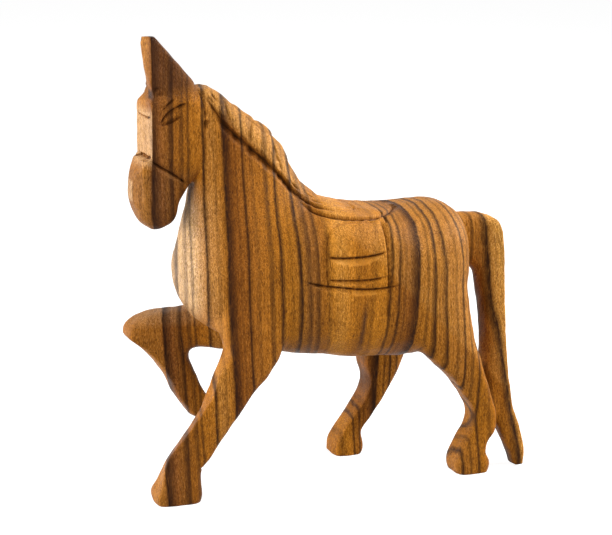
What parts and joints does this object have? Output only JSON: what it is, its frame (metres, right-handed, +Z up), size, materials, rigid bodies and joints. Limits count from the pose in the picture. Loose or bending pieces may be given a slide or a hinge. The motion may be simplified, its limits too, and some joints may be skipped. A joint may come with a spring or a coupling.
{
  "type": "carved wooden horse figurine",
  "caption": "Carved horse figurine of striped hardwood, stepping out with its right foreleg raised, with a carved mane and saddle and a long tail joined to the hock.",
  "frame": {"origin": "on the ground, under the middle of the figurine's bounding box", "axes": "+Z up, the horse looks along -X, its left side faces -Y"},
  "size_m": [0.2056, 0.0726, 0.233],
  "materials": {
    "striped_wood": "satin oiled, golden brown with dark growth stripes",
    "dowel_wood": "plain sanded"
  },
  "bodies": {
    "root": {"body": "striped_wood", "head_and_neck": "striped_wood", "left_foreleg": "striped_wood", "right_foreleg": "striped_wood", "left_hind_leg": "striped_wood", "right_hind_leg": "striped_wood", "tail": "striped_wood", "front_neck_dowel": "dowel_wood", "rear_neck_dowel": "dowel_wood", "left_foreleg_dowel": "dowel_wood", "right_foreleg_dowel": "dowel_wood", "left_hind_leg_dowel": "dowel_wood", "right_hind_leg_dowel": "dowel_wood", "tail_dowel": "dowel_wood"}
  },
  "joints": []
}
